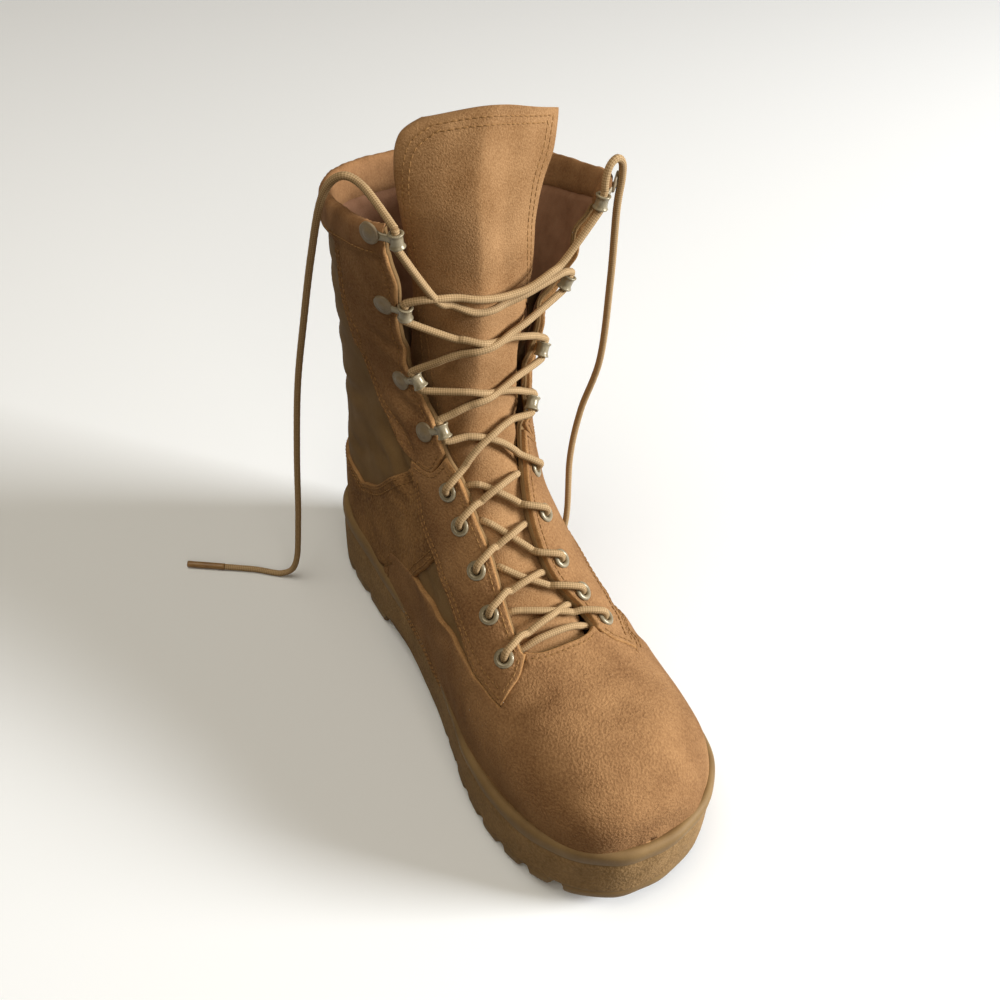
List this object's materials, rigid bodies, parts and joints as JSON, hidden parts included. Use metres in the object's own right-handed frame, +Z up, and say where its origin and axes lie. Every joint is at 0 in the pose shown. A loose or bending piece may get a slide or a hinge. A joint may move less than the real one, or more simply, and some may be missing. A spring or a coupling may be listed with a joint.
{
  "type": "combat boot",
  "caption": "High lace-up combat boot in tan rough suede and fabric, with eyelets and lace loops, a tall tongue, a padded collar and a thick lugged rubber sole; left foot.",
  "frame": {"origin": "on the floor, under the middle of the boot's box without the free lace ends", "axes": "+Y from toe to heel, +X to the outer (lateral) side of this left boot, +Z up"},
  "size_m": [0.2012, 0.3084, 0.3024],
  "materials": {
    "rubber": "matte moulded rubber, grained band and smooth lip",
    "quarter": "dense tan woven fabric panels, lined",
    "suede": "rough-out suede with a short nap",
    "tongue": "rough-out suede, soft folds",
    "insole": "fabric-covered footbed",
    "hardware": "semi-gloss baked enamel",
    "lace": "round braided cord",
    "aglet": "moulded lace tip"
  },
  "bodies": {
    "root": {"outsole": "rubber", "upper": "quarter", "insole": "insole", "tongue": "tongue", "vamp": "suede", "counter": "suede", "backstay": "suede", "eyestay_medial": "suede", "eyestay_lateral": "suede", "facing_medial": "suede", "facing_lateral": "suede", "eyelet_medial_1": "hardware", "eyelet_medial_2": "hardware", "eyelet_medial_3": "hardware", "eyelet_medial_4": "hardware", "eyelet_medial_5": "hardware", "loop_medial_4": "hardware", "loop_medial_3": "hardware", "loop_medial_2": "hardware", "loop_medial_1": "hardware", "eyelet_lateral_1": "hardware", "eyelet_lateral_2": "hardware", "eyelet_lateral_3": "hardware", "eyelet_lateral_4": "hardware", "eyelet_lateral_5": "hardware", "loop_lateral_4": "hardware", "loop_lateral_3": "hardware", "loop_lateral_2": "hardware", "loop_lateral_1": "hardware", "lace_bar": "lace", "lace_cross_1": "lace", "lace_cross_2": "lace", "lace_cross_3": "lace", "lace_cross_4": "lace", "lace_cross_5": "lace", "lace_cross_6": "lace", "lace_cross_7": "lace", "lace_cross_8": "lace", "lace_end_medial": "lace", "aglet_medial": "aglet", "lace_end_lateral": "lace", "aglet_lateral": "aglet"}
  },
  "joints": []
}
